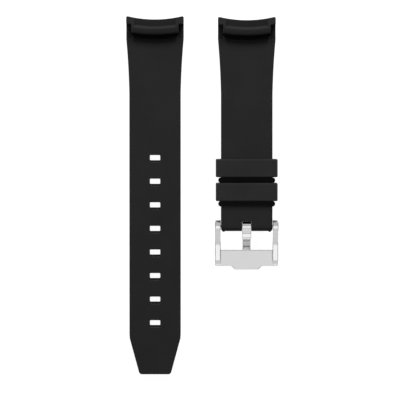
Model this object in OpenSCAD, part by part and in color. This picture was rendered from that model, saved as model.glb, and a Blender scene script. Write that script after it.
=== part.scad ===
// Rubber watch strap with curved ends, two keepers and a pin buckle.
// The two halves lie side by side on the plane Z = 0 with their inner (wrist) faces up.
// Their lug ends point to +Y. The origin is under the middle of the pair.

/* [Lug ends] */
// Width between the lugs of the watch
lug_w = 20; // [19:0.5:22]
// Depth of the hollow end that follows the round case
end_sag = 1.25; // [0.9:0.05:1.6]
// Height of the thick end above the outer face
lug_t = 6.25; // [6.1:0.05:6.8]
// Length of the end that keeps the full lug width
lug_straight = 7.6; // [7.4:0.1:9]
// Distance of the spring bar hole behind the middle of the hollow end
lug_bar_back = 3.1; // [3:0.05:3.2]
// Radius of the spring bar hole
lug_bore_r = 0.9; // [0.8:0.05:0.95]
// Height of the spring bar hole above the outer face
lug_bore_z = 4.1; // [3.9:0.05:4.2]
// Distance of the ridge's crest behind the hollow end
ridge_back = 3.3; // [3.2:0.05:3.5]
// Distance of the ridge's upright back wall behind the hollow end
ridge_end = 5.2; // [5.1:0.05:5.5]
// Fall of the ridge from its crest to the back wall
ridge_fall = 0.45; // [0.2:0.05:0.6]
// Length of the spring bar hole, between the two tool notches
ridge_len = 16.4; // [15.6:0.1:17]
// Height of the low step in front of the ridge, at its front
step_t = 5.45; // [5.35:0.05:5.6]
// Slope of the step, down toward the ridge
step_slope = 0.18; // [0.05:0.01:0.2]
// Fall of the corner pads from the crest to the front
pad_fall = 0.7; // [0.3:0.05:0.75]
// Where the tool notches begin, from the corners
notch_front = 2.7; // [2.4:0.1:2.9]
// Where the tool notches end, from the corners
notch_back = 7.6; // [7.4:0.1:8.4]
// Rubber left under the tool notches and the crease
notch_floor = 1.6; // [1.3:0.1:2.4]

/* [Strap halves] */
// Width of both halves below the flare
strap_w = 17.9; // [16.5:0.1:18.4]
// Length of the long half, corner to tip
long_len = 125; // [116:0.5:140]
// Length of the short half, corner to rounded end
short_len = 74.5; // [71:0.5:90]
// Where the flare ends and the edges run parallel, from the corners
flare_end = 27; // [24:1:34]
// Thickness of both halves behind the lug end
body_t = 3.2; // [3.1:0.05:3.6]
// Radius along the long edges
edge_r = 0.5; // [0.2:0.1:0.8]
// Distance between the centre lines of the two halves
pair_pitch = 31.9; // [28:0.1:60]
// How far the short half's corners lie behind those of the long half
pair_offset = 0.3; // [0:0.05:10]

/* [Tail] */
// Length of the tapered tail
tail_len = 12.9; // [10:0.1:15]
// Width at the very tip, before its corners are rounded
tip_w = 10.85; // [8:0.05:13]
// Radius of the corners at the tip
tip_corner_r = 1.1; // [0.5:0.1:2]
// Number of adjusting slots
slot_count = 8; // [5:1:9]
// Distance between slot centres
slot_pitch = 8.23; // [6:0.01:9]
// Distance of the last slot from the tip
slot_first = 18; // [15.5:0.05:20]
// Width of a slot
slot_w = 3.6; // [3.3:0.1:5]
// Length of a slot along the strap, at the outer face
slot_len = 1.85; // [1.8:0.05:3]
// How much longer a slot is at the inner face, where its tip-side wall slopes for the tang
slot_slope = 0.75; // [0.3:0.05:1.2]
// Radius of the slot corners
slot_corner_r = 0.5; // [0.2:0.1:0.8]

/* [Keepers] */
// Length of a keeper along the strap
keeper_len = 6.2; // [5:0.1:7.5]
// Thickness of a keeper above and below the strap
keeper_t = 1.4; // [1.1:0.1:1.8]
// Thickness of a keeper beside the strap
keeper_side_t = 1.45; // [1.2:0.05:2]
// Free space between a keeper and the strap on each side
keeper_gap = 0.35; // [0.3:0.05:0.6]
// Free space between a keeper and the strap's inner face
keeper_play = 0.25; // [0.2:0.05:0.5]
// Room over the tail of the other half
tail_play = 0.4; // [0.2:0.1:0.8]
// Outer corner radius of a keeper
keeper_corner_r = 1.6; // [1:0.1:2]
// Inner corner radius of a keeper
keeper_inner_r = 0.5; // [0.2:0.1:0.8]
// Distance of the fixed keeper from the buckle bar
fixed_keeper_from_bar = 12; // [11:0.1:14]
// Space between the two keepers as they lie
keeper_space = 2.1; // [2.1:0.05:12]
// Radius of the nubs that hold the fixed keeper
nub_r = 0.95; // [0.8:0.05:0.98]
// Clearance between the nubs and the fixed keeper
nub_play = 0.05; // [0.03:0.01:0.1]
// Distance of the nubs' ends from the strap's faces
nub_inset = 0.6; // [0.4:0.1:1]

/* [Buckle] */
// Clearance between the strap's end and each arm
arm_gap = 0.12; // [0.1:0.01:0.3]
// Thickness of an arm
arm_t = 1.95; // [1.8:0.05:2.6]
// Radius of the ears round the bar
ear_r = 2.3; // [1.7:0.1:2.4]
// Distance of the plate's inner edge from the bar
plate_back = 8.4; // [8.2:0.1:11]
// Width of the plate along the strap
plate_len = 5.6; // [4.6:0.1:7]
// Thickness of the plate
plate_t = 1.7; // [1.5:0.05:2]
// Height of the arms' level tops above the table
rail_t = 4.2; // [3.8:0.1:4.8]
// Where the arms' slope ends, from the bar
rail_back = 6.1; // [5.8:0.1:7.2]
// Radius of the arms' round noses
nose_r = 1.6; // [1:0.1:2]
// Setback of the noses behind the plate's front edge
nose_setback = 0.6; // [0.3:0.05:1.5]
// Width of the tab at the plate's front edge
tab_w = 10.6; // [8:0.1:14]
// Width of the tab at its end
tab_end_w = 8; // [6:0.1:10]
// Length of the tab
tab_len = 1.25; // [0.6:0.05:2]
// Width of the slot for the tang in the strap's end
tang_slot_w = 3.4; // [3.3:0.1:4]
// Radius of the corners of the short half's rounded end
end_corner_r = 1.1; // [0.6:0.1:1.6]
// Depth of that slot beyond the bar
tang_slot_back = 1.95; // [1.6:0.05:2]

/* [Tang] */
// Width of the tang's knuckle and shoulders
knuckle_w = 3.1; // [2.4:0.05:3.15]
// Width of the tang's shank
shank_w = 2.85; // [2.4:0.05:3.15]
// Outer radius of the knuckle
knuckle_r = 1.45; // [1.3:0.05:1.5]
// Thickness of the shank
shank_t = 1.1; // [0.9:0.05:1.3]
// Thickness of the thinned tip
tip_plate_t = 0.75; // [0.6:0.05:0.85]
// Clearance of the tip in its groove
tip_play = 0.1; // [0.06:0.02:0.2]

/* [Spring bar] */
// Radius of the bar's barrel
barrel_r = 0.75; // [0.7:0.05:0.8]
// Radius of the bore inside the barrel
barrel_bore_r = 0.5; // [0.45:0.01:0.55]
// Length of the turned-in ends of the barrel
barrel_lip = 0.5; // [0.3:0.1:0.8]
// Radius of the plungers' stems
stem_r = 0.38; // [0.34:0.01:0.39]
// Reach of a stem into its ear
stem_reach = 1; // [0.8:0.05:1.1]
// Length of the plungers' heads
head_len = 2.4; // [1.5:0.1:3]
// Clearance of everything that turns on the bar
turn_fit = 0.05; // [0.03:0.01:0.08]
// Clearance of the sliding plungers
slide_fit = 0.04; // [0.02:0.01:0.06]
// Space between the barrel's ends and the arms
barrel_end_gap = 0.2; // [0.1:0.05:0.3]

/* [Hidden] */

round_fn = 40;
wide_fn = 144;
cut = 1;
rubber = [0.17, 0.17, 0.175];
keeper_rubber = [0.19, 0.19, 0.195];
steel = [0.8, 0.8, 0.81];
bright_steel = [0.88, 0.88, 0.88];

// Radius and centre of the hollow end
end_r = (pow(lug_w / 2, 2) + pow(end_sag, 2)) / (2 * end_sag);
end_centre_y = end_r - end_sag;
lug_bar_y = -(end_sag + lug_bar_back);
ridge_foot = ridge_back - 0.95;
ridge_top_r = 0.6;
ridge_end_r = 0.3;
pad_w = 1.05;
crease_w = 0.2;
crease_slope = 1.6;

// Each edge of the flare is an arc that crosses the band's straight edge and dips a little past it
widens = strap_w > lug_w;
flare_dip = 6;
flare_lap = flare_dip / 2;
flare_low_y = -flare_end - flare_dip;
flare_centre_x = ((pow(lug_w, 2) - pow(strap_w, 2)) / 4 + pow(flare_low_y + lug_straight, 2) - pow(flare_dip, 2))
                 / (lug_w - strap_w);
flare_r = norm([flare_centre_x - strap_w / 2, flare_dip]);
flare_turn = asin((cut - flare_low_y) / flare_r);
band_start = (lug_straight + flare_end) / 2;

// Slant of the tail's sides
tail_slant = atan((strap_w - tip_w) / 2 / tail_len);
// The slot for the tang runs out past the end of the short half
tang_slot_len = tang_slot_back + body_t + cut;

// Places of the two halves
buckle_gap_w = strap_w + 2 * arm_gap;
buckle_w = buckle_gap_w + 2 * arm_t;
pair_w = lug_w / 2 + pair_pitch + buckle_w / 2;
long_x = (lug_w - pair_w) / 2;
short_x = long_x + pair_pitch;
corner_y = long_len / 2;
short_corner_y = corner_y - pair_offset;
short_z = keeper_t + body_t + tail_play;

// The buckle bar runs through the rounded end of the short half
bar_local_y = body_t / 2 - short_len;
bar_y = short_corner_y + bar_local_y;
bar_z = short_z + body_t / 2;
strap_bore_r = barrel_r + turn_fit;

// Keepers, measured from the bar
keeper_w = strap_w + 2 * (keeper_gap + keeper_side_t);
keeper_h = short_z + body_t + keeper_play + keeper_t;
fixed_keeper_y = bar_y + fixed_keeper_from_bar;
free_keeper_y = fixed_keeper_y + keeper_len + keeper_space;
nub_offset = keeper_len / 2 + nub_play + nub_r;

// Buckle profile, as distances ahead of the bar and heights over it
base = -bar_z;
plate_top = base + plate_t;
rail_top = base + rail_t;
plate_front = plate_back + plate_len;
nose_x = plate_front - nose_setback - nose_r;
groove_t = tip_plate_t + 2 * tip_play;
groove_w = shank_w + 0.6;
ear_hole_r = stem_r + turn_fit;
ear_hole_depth = stem_reach + 0.25;
tip_top = base + tip_play + tip_plate_t;
tip_bottom = base + tip_play;
tip_reach = plate_front + 0.2;
// The slope bends into the tip this far ahead of the plate, so the bend stays out of the groove
tip_bend_r = 1.2;
tip_bend_lead = 0.75;
hump_back = knuckle_r + 1;
hump_front = hump_back + 1.6;
shoulder_reach = hump_front + 0.5;
hump_top = 0.4;

// Bar, measured from its middle
barrel_len = buckle_gap_w - 2 * barrel_end_gap;
head_r = barrel_bore_r - slide_fit;
head_out = barrel_len / 2 - barrel_lip - 0.05;
head_in = head_out - head_len;
stem_end = buckle_gap_w / 2 + stem_reach;
spring_r = head_r - 0.02;
spring_bore_r = 0.3;
spring_end_gap = 0.02;

// Corner rounding: each point is [x, y, radius], and a radius of 0 leaves it sharp
function unit(v) = v / norm(v);
function corner_arc(before, at, after, r, steps = 8) =
    r == 0 ? [at] :
    let (
        to_before = unit(before - at),
        to_after = unit(after - at),
        half = acos(to_before * to_after) / 2,
        centre = at + unit(to_before + to_after) * r / sin(half),
        start = at + to_before * r / tan(half) - centre,
        end = at + to_after * r / tan(half) - centre,
        first = atan2(start[1], start[0]),
        raw = atan2(end[1], end[0]) - first,
        sweep = raw > 180 ? raw - 360 : raw < -180 ? raw + 360 : raw
    )
    [for (i = [0 : steps]) centre + r * [cos(first + sweep * i / steps), sin(first + sweep * i / steps)]];
function xy(p) = [p[0], p[1]];
function rounded(points) =
    let (n = len(points))
    [for (i = [0 : n - 1])
        each corner_arc(xy(points[(i + n - 1) % n]), xy(points[i]), xy(points[(i + 1) % n]), points[i][2])];

// Point where a line from p touches a circle round the origin, on the side given
function touch(p, r, side) =
    let (turn = atan2(p[1], p[0]) + side * acos(r / norm(p)))
    r * [cos(turn), sin(turn)];

// Point of a line through p along v, at the height given
function on_line(p, v, height) = p + v * (height - p[1]) / v[1];

// Flat shapes

module round_rect(size, r) {
    square([size[0], size[1] - 2 * r], center = true);
    square([size[0] - 2 * r, size[1]], center = true);
    for (x = [-1, 1], y = [-1, 1])
        translate([x * (size[0] / 2 - r), y * (size[1] / 2 - r)])
            circle(r, $fn = round_fn);
}

// Cross-section of a rubber band that stands on the X axis
module band_section(w, t) {
    translate([0, t / 2])
        round_rect([w, t], edge_r);
}

// Placing flat shapes

// Runs a cross-section from Y = 0 to Y = -length
module along(length) {
    rotate([90, 0, 0])
        linear_extrude(length)
            children();
}

// Stands a side profile up, centred across, with its x pointing away from the lugs
module across(width) {
    rotate([90, 0, 90])
        translate([0, 0, -width / 2])
            linear_extrude(width)
                mirror([1, 0])
                    children();
}

// Round bar along X, centred
module cross_rod(r, length) {
    rotate([0, 90, 0])
        cylinder(h = length, r = r, center = true, $fn = round_fn);
}

// Turns a section about the centre of the hollow end: x is the distance behind that end
module behind_end() {
    spread = asin(lug_w / 2 / end_r) + 3;
    translate([0, end_centre_y, 0])
        rotate([0, 0, -90 - spread])
            rotate_extrude(angle = 2 * spread, $fn = wide_fn)
                translate([end_r, 0])
                    children();
}

// Lug end

// Side view of the crest and its back wall, with a front that starts at the point given
module crest_section(front) {
    root_z = notch_floor - cut;
    polygon(rounded([
        [front[0], root_z, 0],
        [front[0], front[1], 0],
        [ridge_back, lug_t, ridge_top_r],
        [ridge_end, lug_t - ridge_fall, ridge_end_r],
        [ridge_end, root_z, 0]
    ]));
}

module ridge_section() {
    root_z = notch_floor - cut;
    foot_z = step_t - ridge_foot * step_slope;
    crest_section([ridge_foot, foot_z]);
    polygon([[-cut, root_z], [-cut, step_t + cut * step_slope], [ridge_foot, foot_z],
             [ridge_foot + cut, foot_z - cut * step_slope], [ridge_foot + cut, root_z]]);
}

// The ridge over the spring bar, with the low step in front of it
module ridge() {
    intersection() {
        behind_end()
            ridge_section();
        translate([-ridge_len / 2, -lug_straight, 0])
            cube([ridge_len, lug_straight + cut, 2 * lug_t]);
    }
}

// High pads at both corners, which rise to the crest beside the low step and join the ridge's ends
module corner_pad() {
    intersection() {
        behind_end()
            crest_section([-cut, lug_t - pad_fall * (ridge_back + cut) / ridge_back]);
        union() {
            translate([ridge_len / 2 - pad_w, -lug_straight, 0])
                cube([pad_w, lug_straight + cut, 2 * lug_t]);
            translate([ridge_len / 2 - pad_w, -notch_front, 0])
                cube([(lug_w - ridge_len) / 2 + pad_w, notch_front + cut, 2 * lug_t]);
        }
    }
}

// Slab with one edge of the flare, turned about the centre of its large arc: the rubber lies outside
// the arc, or inside it where the strap is wider than the lug end
module flare_side() {
    reach = 1.5 * lug_w;
    translate([flare_centre_x, flare_low_y, 0])
        rotate([0, 0, widens ? 0 : 180 - flare_turn])
            rotate_extrude(angle = flare_turn, $fn = 4 * wide_fn)
                translate([flare_r + (widens ? -reach : reach) / 2, 0])
                    band_section(reach, body_t);
}

// Flat band with the full lug width at its front, flared to the strap's width
module flared_band() {
    intersection() {
        along(flare_end + flare_lap)
            band_section(max(lug_w, strap_w), body_t);
        flare_side();
        mirror([1, 0, 0])
            flare_side();
    }
    if (widens)
        along(lug_straight)
            band_section(lug_w, body_t);
}

// Front room above the notch floor: it slopes up behind the ridge and ends square at the notches
module ridge_room() {
    crease_x = end_r + ridge_end + crease_w;
    room_t = 2 * (body_t - notch_floor);
    translate([0, end_centre_y, notch_floor])
        rotate_extrude($fn = wide_fn)
            polygon([[0, 0], [crease_x, 0], [crease_x + 2 * crease_slope, room_t], [0, room_t]]);
    for (side = [-1, 1])
        translate([side * (ridge_len + lug_w) / 2 - lug_w / 2, -notch_back, notch_floor])
            cube([lug_w, notch_back + cut, room_t]);
}

module lug_end() {
    difference() {
        union() {
            difference() {
                flared_band();
                ridge_room();
            }
            ridge();
            corner_pad();
            mirror([1, 0, 0])
                corner_pad();
        }
        translate([0, end_centre_y, -cut])
            cylinder(h = 2 * lug_t, r = end_r, $fn = wide_fn);
        translate([0, lug_bar_y, lug_bore_z])
            cross_rod(lug_bore_r, lug_w + 2 * cut);
    }
}

// Long half

// Straight band that starts inside the flare and reaches to the distance given
module straight_band(reach) {
    translate([0, -band_start, 0])
        along(reach - band_start)
            band_section(strap_w, body_t);
}

// Slab whose long edge is one sloped side of the tail
module tail_side() {
    wide = 4 * strap_w;
    translate([strap_w / 2, tail_len - long_len, 0])
        rotate([0, 0, -tail_slant])
            translate([-wide / 2, long_len, 0])
                along(2 * long_len)
                    band_section(wide, body_t);
}

// Slab whose edge is the blunt end of the tail
module tail_tip() {
    translate([-strap_w, 0, 0])
        rotate([90, 0, 90])
            linear_extrude(2 * strap_w)
                band_section(2 * long_len, body_t);
}

// Outline with round corners at an end that lies at -length
module end_outline(length, corner_x, corner_r, start) {
    translate([-strap_w, start - length])
        square([2 * strap_w, length - start]);
    translate([-corner_x, -length])
        square([2 * corner_x, 2 * corner_r]);
    for (side = [-1, 1])
        translate([side * corner_x, corner_r - length])
            circle(corner_r, $fn = round_fn);
}

module tapered_tail() {
    corner_x = tip_w / 2 + tip_corner_r * (tan(tail_slant) - 1 / cos(tail_slant));
    intersection() {
        straight_band(long_len + cut);
        tail_side();
        mirror([1, 0, 0])
            tail_side();
        tail_tip();
        linear_extrude(body_t)
            end_outline(long_len, corner_x, tip_corner_r, tip_corner_r * (1 - sin(tail_slant)));
    }
}

// One slot, round its place at the outer face, with a sloped wall on the tip side
module adjusting_slot() {
    long_w = slot_len + slot_slope;
    foot = slot_len / 2;
    slant = slot_slope * cut / body_t;
    intersection() {
        translate([0, -slot_slope / 2, -cut])
            linear_extrude(body_t + 2 * cut)
                round_rect([slot_w, long_w], slot_corner_r);
        across(2 * slot_w)
            polygon([[-long_w, -2 * cut], [foot - slant, -2 * cut], [foot - slant, -cut],
                     [foot + slot_slope + slant, body_t + cut], [-long_w, body_t + cut]]);
    }
}

module adjusting_slots() {
    for (i = [0 : slot_count - 1])
        translate([0, slot_first + i * slot_pitch - long_len, 0])
            adjusting_slot();
}

module long_strap() {
    color(rubber)
        translate([long_x, corner_y, 0])
            difference() {
                union() {
                    lug_end();
                    tapered_tail();
                }
                adjusting_slots();
            }
}

// Short half

// Rolled end round the buckle bar
module end_roll() {
    rotate([0, 90, 0])
        rotate_extrude($fn = round_fn)
            intersection() {
                round_rect([body_t, strap_w], edge_r);
                translate([0, -strap_w])
                    square([body_t, 2 * strap_w]);
            }
}

// Half-round nubs on the strap's edges, at both ends of the fixed keeper
module keeper_nubs() {
    for (side = [-1, 1], end = [-1, 1])
        translate([side * strap_w / 2, bar_local_y + fixed_keeper_from_bar + end * nub_offset, nub_inset])
            cylinder(h = body_t - 2 * nub_inset, r = nub_r, $fn = round_fn);
}

module short_strap() {
    color(rubber)
        translate([short_x, short_corner_y, short_z])
            difference() {
                union() {
                    lug_end();
                    intersection() {
                        union() {
                            straight_band(-bar_local_y);
                            translate([0, bar_local_y, body_t / 2])
                                end_roll();
                        }
                        linear_extrude(body_t)
                            end_outline(short_len, strap_w / 2 - end_corner_r, end_corner_r, end_corner_r);
                    }
                    keeper_nubs();
                }
                translate([0, bar_local_y + tang_slot_back - tang_slot_len / 2, -cut])
                    linear_extrude(body_t + 2 * cut)
                        round_rect([tang_slot_w, tang_slot_len], slot_corner_r);
                translate([0, bar_local_y, body_t / 2])
                    cross_rod(strap_bore_r, strap_w + 2 * cut);
            }
}

// Keepers

module keeper(y) {
    color(keeper_rubber)
        translate([short_x, y + keeper_len / 2, keeper_h / 2])
            along(keeper_len)
                difference() {
                    round_rect([keeper_w, keeper_h], keeper_corner_r);
                    round_rect([strap_w + 2 * keeper_gap, keeper_h - 2 * keeper_t], keeper_inner_r);
                }
}

module fixed_keeper() {
    keeper(fixed_keeper_y);
}

module free_keeper() {
    keeper(free_keeper_y);
}

// Buckle and its bar, all drawn round the bar's middle

module at_bar() {
    translate([short_x, bar_y, bar_z])
        children();
}

// Side view of an arm: ear, slope, level rail and round nose
module arm_profile() {
    slope_top = [rail_back, rail_top];
    slope_bottom = [plate_back - 1, base];
    upper = touch(slope_top, ear_r, 1);
    lower = touch(slope_bottom, ear_r, -1);
    circle(ear_r, $fn = round_fn);
    polygon(rounded([
        [0, 0, 0],
        [upper[0], upper[1], 0],
        [rail_back, rail_top, 3],
        [nose_x + nose_r, rail_top, nose_r],
        [nose_x + nose_r, base, 0],
        [slope_bottom[0], base, 3],
        [lower[0], lower[1], 0]
    ]));
}

module plate_profile() {
    polygon(rounded([
        [plate_back, base, 0.3],
        [plate_back, plate_top, 0.3],
        [plate_front, plate_top, 0.4],
        [plate_front, base, 0.7]
    ]));
}

// Plan of the tab that widens toward the plate
module tab_plan() {
    polygon([
        [-tab_w / 2, -plate_front], [-tab_w / 2, 1 - plate_front],
        [tab_w / 2, 1 - plate_front], [tab_w / 2, -plate_front],
        [tab_end_w / 2, -plate_front - tab_len], [-tab_end_w / 2, -plate_front - tab_len]
    ]);
}

module buckle_frame() {
    color(steel)
        at_bar()
            difference() {
                union() {
                    for (side = [-1, 1])
                        translate([side * (buckle_gap_w + arm_t) / 2, 0, 0])
                            across(arm_t)
                                arm_profile();
                    across(buckle_w)
                        plate_profile();
                    translate([0, 0, base])
                        linear_extrude(plate_t)
                            tab_plan();
                }
                for (side = [-1, 1])
                    translate([side * (buckle_gap_w + ear_hole_depth - cut) / 2, 0, 0])
                        cross_rod(ear_hole_r, ear_hole_depth + cut);
                translate([-groove_w / 2, -plate_front - tab_len - cut, base - cut])
                    cube([groove_w, plate_len + tab_len + 2 * cut, groove_t + cut]);
            }
}

// Side view of the tang: a low hump, a slope and the thinned tip
module shank_profile() {
    slope_start = [hump_front, hump_top];
    slope_end = [plate_back - tip_bend_lead, tip_top];
    slope = unit(slope_end - slope_start);
    under = slope_start + shank_t * [slope[1], -slope[0]];
    under_start = on_line(under, slope, hump_top - shank_t);
    under_end = on_line(under, slope, tip_bottom);
    tip_r = 0.49 * tip_plate_t;
    polygon(rounded([
        [knuckle_r / 2, 0, 0],
        [knuckle_r + 0.2, -0.1, 0.3],
        [hump_back, hump_top, 0.6],
        [hump_front, hump_top, 1.5],
        [slope_end[0], tip_top, tip_bend_r],
        [tip_reach, tip_top, tip_r],
        [tip_reach, tip_bottom, tip_r],
        [under_end[0], tip_bottom, 2],
        [under_start[0], under_start[1], 1],
        [knuckle_r / 2, hump_top - shank_t - 0.2, 0]
    ]));
}

module buckle_tang() {
    color(bright_steel)
        at_bar()
            difference() {
                union() {
                    cross_rod(knuckle_r, knuckle_w);
                    across(shank_w)
                        shank_profile();
                    across(knuckle_w)
                        intersection() {
                            shank_profile();
                            translate([0, -knuckle_r])
                                square([shoulder_reach, 2 * knuckle_r]);
                        }
                }
                cross_rod(barrel_r + turn_fit, knuckle_w + 2 * cut);
            }
}

module bar_barrel() {
    color(bright_steel)
        at_bar()
            difference() {
                cross_rod(barrel_r, barrel_len);
                cross_rod(barrel_bore_r, barrel_len - 2 * barrel_lip);
                cross_rod(stem_r + slide_fit, barrel_len + 2 * cut);
            }
}

// Plunger with its head inside the barrel and its stem in the ear
module plunger(side) {
    color(bright_steel)
        at_bar() {
            translate([side * (head_in + head_out) / 2, 0, 0])
                cross_rod(head_r, head_len);
            translate([side * (head_in + stem_end) / 2, 0, 0])
                cross_rod(stem_r, stem_end - head_in);
        }
}

module bar_plunger_left() {
    plunger(-1);
}

module bar_plunger_right() {
    plunger(1);
}

// Envelope of the fine coil spring between the plungers
module bar_spring() {
    color(bright_steel)
        at_bar()
            difference() {
                cross_rod(spring_r, 2 * (head_in - spring_end_gap));
                cross_rod(spring_bore_r, 2 * head_in + cut);
            }
}

long_strap();
short_strap();
fixed_keeper();
free_keeper();
buckle_frame();
buckle_tang();
bar_barrel();
bar_plunger_left();
bar_plunger_right();
bar_spring();
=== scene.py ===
"""Looks of a rubber watch strap: two halves side by side, two keepers and a steel pin buckle."""

import bpy
import numpy as np
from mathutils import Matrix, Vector


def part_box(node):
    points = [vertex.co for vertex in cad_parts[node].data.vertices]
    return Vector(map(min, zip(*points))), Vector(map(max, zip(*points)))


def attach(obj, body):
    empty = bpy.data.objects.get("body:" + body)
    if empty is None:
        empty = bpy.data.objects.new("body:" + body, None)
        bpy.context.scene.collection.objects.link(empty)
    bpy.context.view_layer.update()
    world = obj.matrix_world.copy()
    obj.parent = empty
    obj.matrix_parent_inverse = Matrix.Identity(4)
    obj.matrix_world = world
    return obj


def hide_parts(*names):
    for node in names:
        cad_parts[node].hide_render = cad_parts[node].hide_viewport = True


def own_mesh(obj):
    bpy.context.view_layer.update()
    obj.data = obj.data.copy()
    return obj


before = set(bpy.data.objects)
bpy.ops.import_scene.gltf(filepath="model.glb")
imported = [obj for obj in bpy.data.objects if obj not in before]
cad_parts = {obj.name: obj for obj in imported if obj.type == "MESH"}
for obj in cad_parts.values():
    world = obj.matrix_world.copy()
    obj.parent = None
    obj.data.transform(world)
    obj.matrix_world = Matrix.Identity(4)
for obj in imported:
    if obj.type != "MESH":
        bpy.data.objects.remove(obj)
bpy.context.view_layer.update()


# Camera
# The pair was photographed from straight above with a long lens, tipped two degrees toward the
# lug ends. The view is 139.4 mm wide at the strap.

MM = 0.001
TILT = np.radians(2.0)
CAMERA_DISTANCE = 1.4
VIEW_WIDTH = 139.4 * MM
aim = np.array([-0.79, -1.61, 3.0]) * MM
away = np.array([0.0, np.sin(TILT), np.cos(TILT)])

camera_data = bpy.data.cameras.new("camera")
camera_data.lens = camera_data.sensor_width * CAMERA_DISTANCE / VIEW_WIDTH
camera_data.clip_start = 0.01
camera = bpy.data.objects.new("camera", camera_data)
camera.location = Vector(aim + away * CAMERA_DISTANCE)
camera.rotation_euler = (-TILT, 0.0, 0.0)
bpy.context.collection.objects.link(camera)
bpy.context.scene.camera = camera


# Table and studio light
# A white light table, so no shadow falls on it. Two low soft boxes beyond the lug ends light the rubber,
# the right one more. The steel mirrors the room alone: a bright lane of ceiling over the strap, and
# walls that glow faintly near the floor, least on the right.

SOFT_BOX_ASIDE, SOFT_BOX_BEYOND, SOFT_BOX_UP = 250 * MM, 840 * MM, 530 * MM
SOFT_BOX_SIZE = (260 * MM, 320 * MM)
RIGHT_POWER, LEFT_POWER = 14.5, 11.0
UP_FROM_WALLS = (0.6, 0.2, 1.0)
TABLE_SIZE = 3000 * MM
TABLE_GLOW = 0.96


def linear(hex_colour):
    """sRGB hex to linear red, green, blue and alpha 1."""
    channels = np.array([int(hex_colour[i:i + 2], 16) for i in (1, 3, 5)]) / 255
    curved = np.where(channels <= 0.04045, channels / 12.92, ((channels + 0.055) / 1.055) ** 2.4)
    return (*[float(value) for value in curved], 1.0)


def add_node(tree, kind, settings=None, values=None, links=None):
    """A node with its settings, its socket values and its links from other sockets."""
    node = tree.nodes.new(kind)
    for name, value in (settings or {}).items():
        setattr(node, name, value)
    for name, value in (values or {}).items():
        node.inputs[name].default_value = value
    for name, source in (links or {}).items():
        tree.links.new(source, node.inputs[name])
    return node


def new_material(name):
    """An empty material with its output node, and its tree."""
    material = bpy.data.materials.new(name)
    material.use_nodes = True
    material.node_tree.nodes.clear()
    output = material.node_tree.nodes.new("ShaderNodeOutputMaterial")
    return material, material.node_tree, output


def area_light(name, place, size, power):
    """Soft box of a width and a height, at a place in metres, that faces the middle of the strap."""
    data = bpy.data.lights.new(name, "AREA")
    data.shape = "RECTANGLE"
    data.size, data.size_y = size
    data.energy = power
    light = bpy.data.objects.new(name, data)
    light.location = place
    light.rotation_euler = Vector(place).to_track_quat("Z", "Y").to_euler()
    light.visible_camera = False
    light.visible_glossy = False
    bpy.context.collection.objects.link(light)
    return light


for name, side, power in (("right_soft_box", 1, RIGHT_POWER), ("left_soft_box", -1, LEFT_POWER)):
    area_light(name, (side * SOFT_BOX_ASIDE, SOFT_BOX_BEYOND, SOFT_BOX_UP), SOFT_BOX_SIZE, power)

room = bpy.data.worlds.new("room")
room.use_nodes = True
tree = room.node_tree
direction = add_node(tree, "ShaderNodeTexCoord").outputs["Generated"]
axes = add_node(tree, "ShaderNodeSeparateXYZ", links={"Vector": direction}).outputs
up = add_node(tree, "ShaderNodeVectorMath", {"operation": "DOT_PRODUCT"}, links={0: direction})
up.inputs[1].default_value = UP_FROM_WALLS
aside = add_node(tree, "ShaderNodeMath", {"operation": "ABSOLUTE"}, links={0: axes["X"]})

# Each part of the room fades from one glow to another while what it follows goes from a start to an end
glows = {}
for part, follows, start, end, start_glow, end_glow in (
        ("walls", up.outputs["Value"], 0.0, 0.6, 0.5, 0.0),
        ("lane", aside.outputs["Value"], 0.12, 0.3, 1.0, 0.0),
        ("far end", axes["Y"], -0.05, 0.35, 1.2, 0.6),
        ("near end", axes["Y"], -0.9, -0.2, 0.6, 1.0)):
    glows[part] = add_node(tree, "ShaderNodeMapRange", {"interpolation_type": "SMOOTHSTEP"},
                           {"From Min": start, "From Max": end, "To Min": start_glow, "To Max": end_glow},
                           {"Value": follows}).outputs["Result"]
ceiling = add_node(tree, "ShaderNodeMath", {"operation": "MULTIPLY"},
                   links={0: glows["far end"], 1: glows["near end"]})
strip = add_node(tree, "ShaderNodeMath", {"operation": "MULTIPLY"},
                 links={0: ceiling.outputs["Value"], 1: glows["lane"]})
glow = add_node(tree, "ShaderNodeMath", {"operation": "MAXIMUM"},
                links={0: strip.outputs["Value"], 1: glows["walls"]})
background = tree.nodes["Background"]
background.inputs["Color"].default_value = linear("#f4f4f4")
tree.links.new(glow.outputs["Value"], background.inputs["Strength"])
bpy.context.scene.world = room
bpy.context.scene.view_settings.view_transform = "Standard"

corner = TABLE_SIZE / 2
corners = [(-corner, -corner, 0), (corner, -corner, 0), (corner, corner, 0), (-corner, corner, 0)]
table_mesh = bpy.data.meshes.new("table")
table_mesh.from_pydata(corners, [], [(0, 1, 2, 3)])
table = bpy.data.objects.new("table", table_mesh)
bpy.context.collection.objects.link(table)
table_glass, tree, output = new_material("white light table")
glass = add_node(tree, "ShaderNodeBsdfPrincipled",
                 values={"Base Color": linear("#606060"), "Roughness": 0.9,
                         "Emission Color": linear("#ffffff"), "Emission Strength": TABLE_GLOW})
tree.links.new(glass.outputs[0], output.inputs["Surface"])
table_mesh.materials.append(table_glass)


# Rubber of both halves and both keepers
# Black carbon-filled rubber, pressed in a matt steel mould. It is close to black, with a soft sheen.
# The mould's real grain is finer than 0.1 mm and is drawn 0.3 mm wide so that it shows close up.

MOTTLES_PER_METRE, GRAINS_PER_METRE = 90.0, 3500.0
GRAIN_DEPTH = 0.04 * MM


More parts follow.
